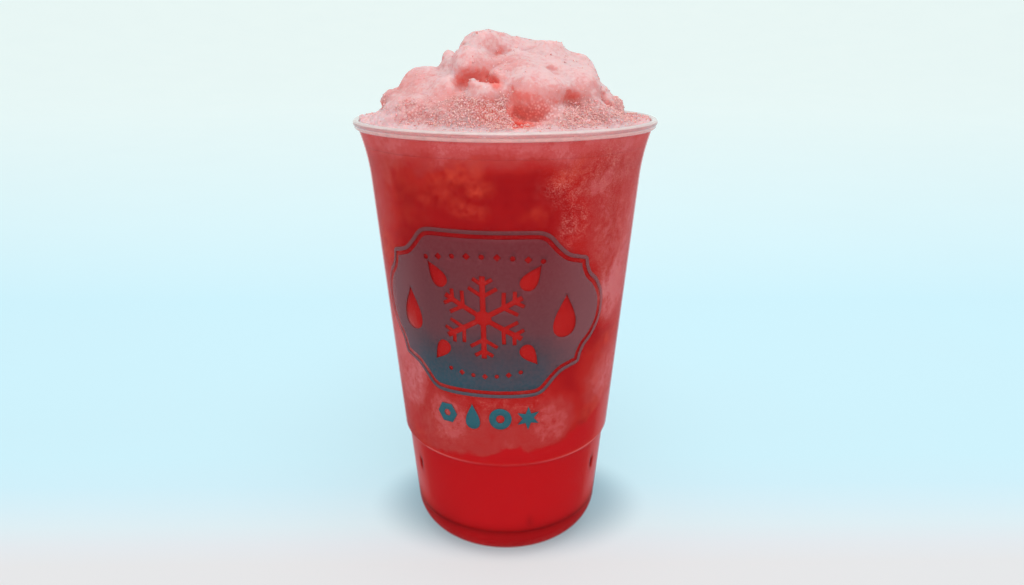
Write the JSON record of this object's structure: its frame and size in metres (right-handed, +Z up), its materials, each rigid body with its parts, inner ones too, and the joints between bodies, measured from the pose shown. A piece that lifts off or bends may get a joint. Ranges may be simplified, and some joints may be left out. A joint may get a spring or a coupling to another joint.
{
  "type": "frozen bubble tea",
  "caption": "Clear plastic takeaway cup filled with red frozen slush tea, with clear melt at the bottom and pale pink slush heaped above the rim.",
  "frame": {"origin": "centre of the cup's foot, on the surface that it stands on", "axes": "+Z up along the cup's axis, -Y towards the printed front, +X to the right of someone who faces the front"},
  "size_m": [0.098, 0.098, 0.1749],
  "materials": {
    "cup": "clear, glossy, thin moulded plastic",
    "melt": "clear red liquid behind clear plastic",
    "slush": "wet frozen red slush with frosty pink clouds",
    "crown": "soft pale pink slush, granular and foamy low down"
  },
  "bodies": {
    "root": {"cup": "cup", "melt": "melt", "slush": "slush", "crown": "crown"}
  },
  "joints": []
}
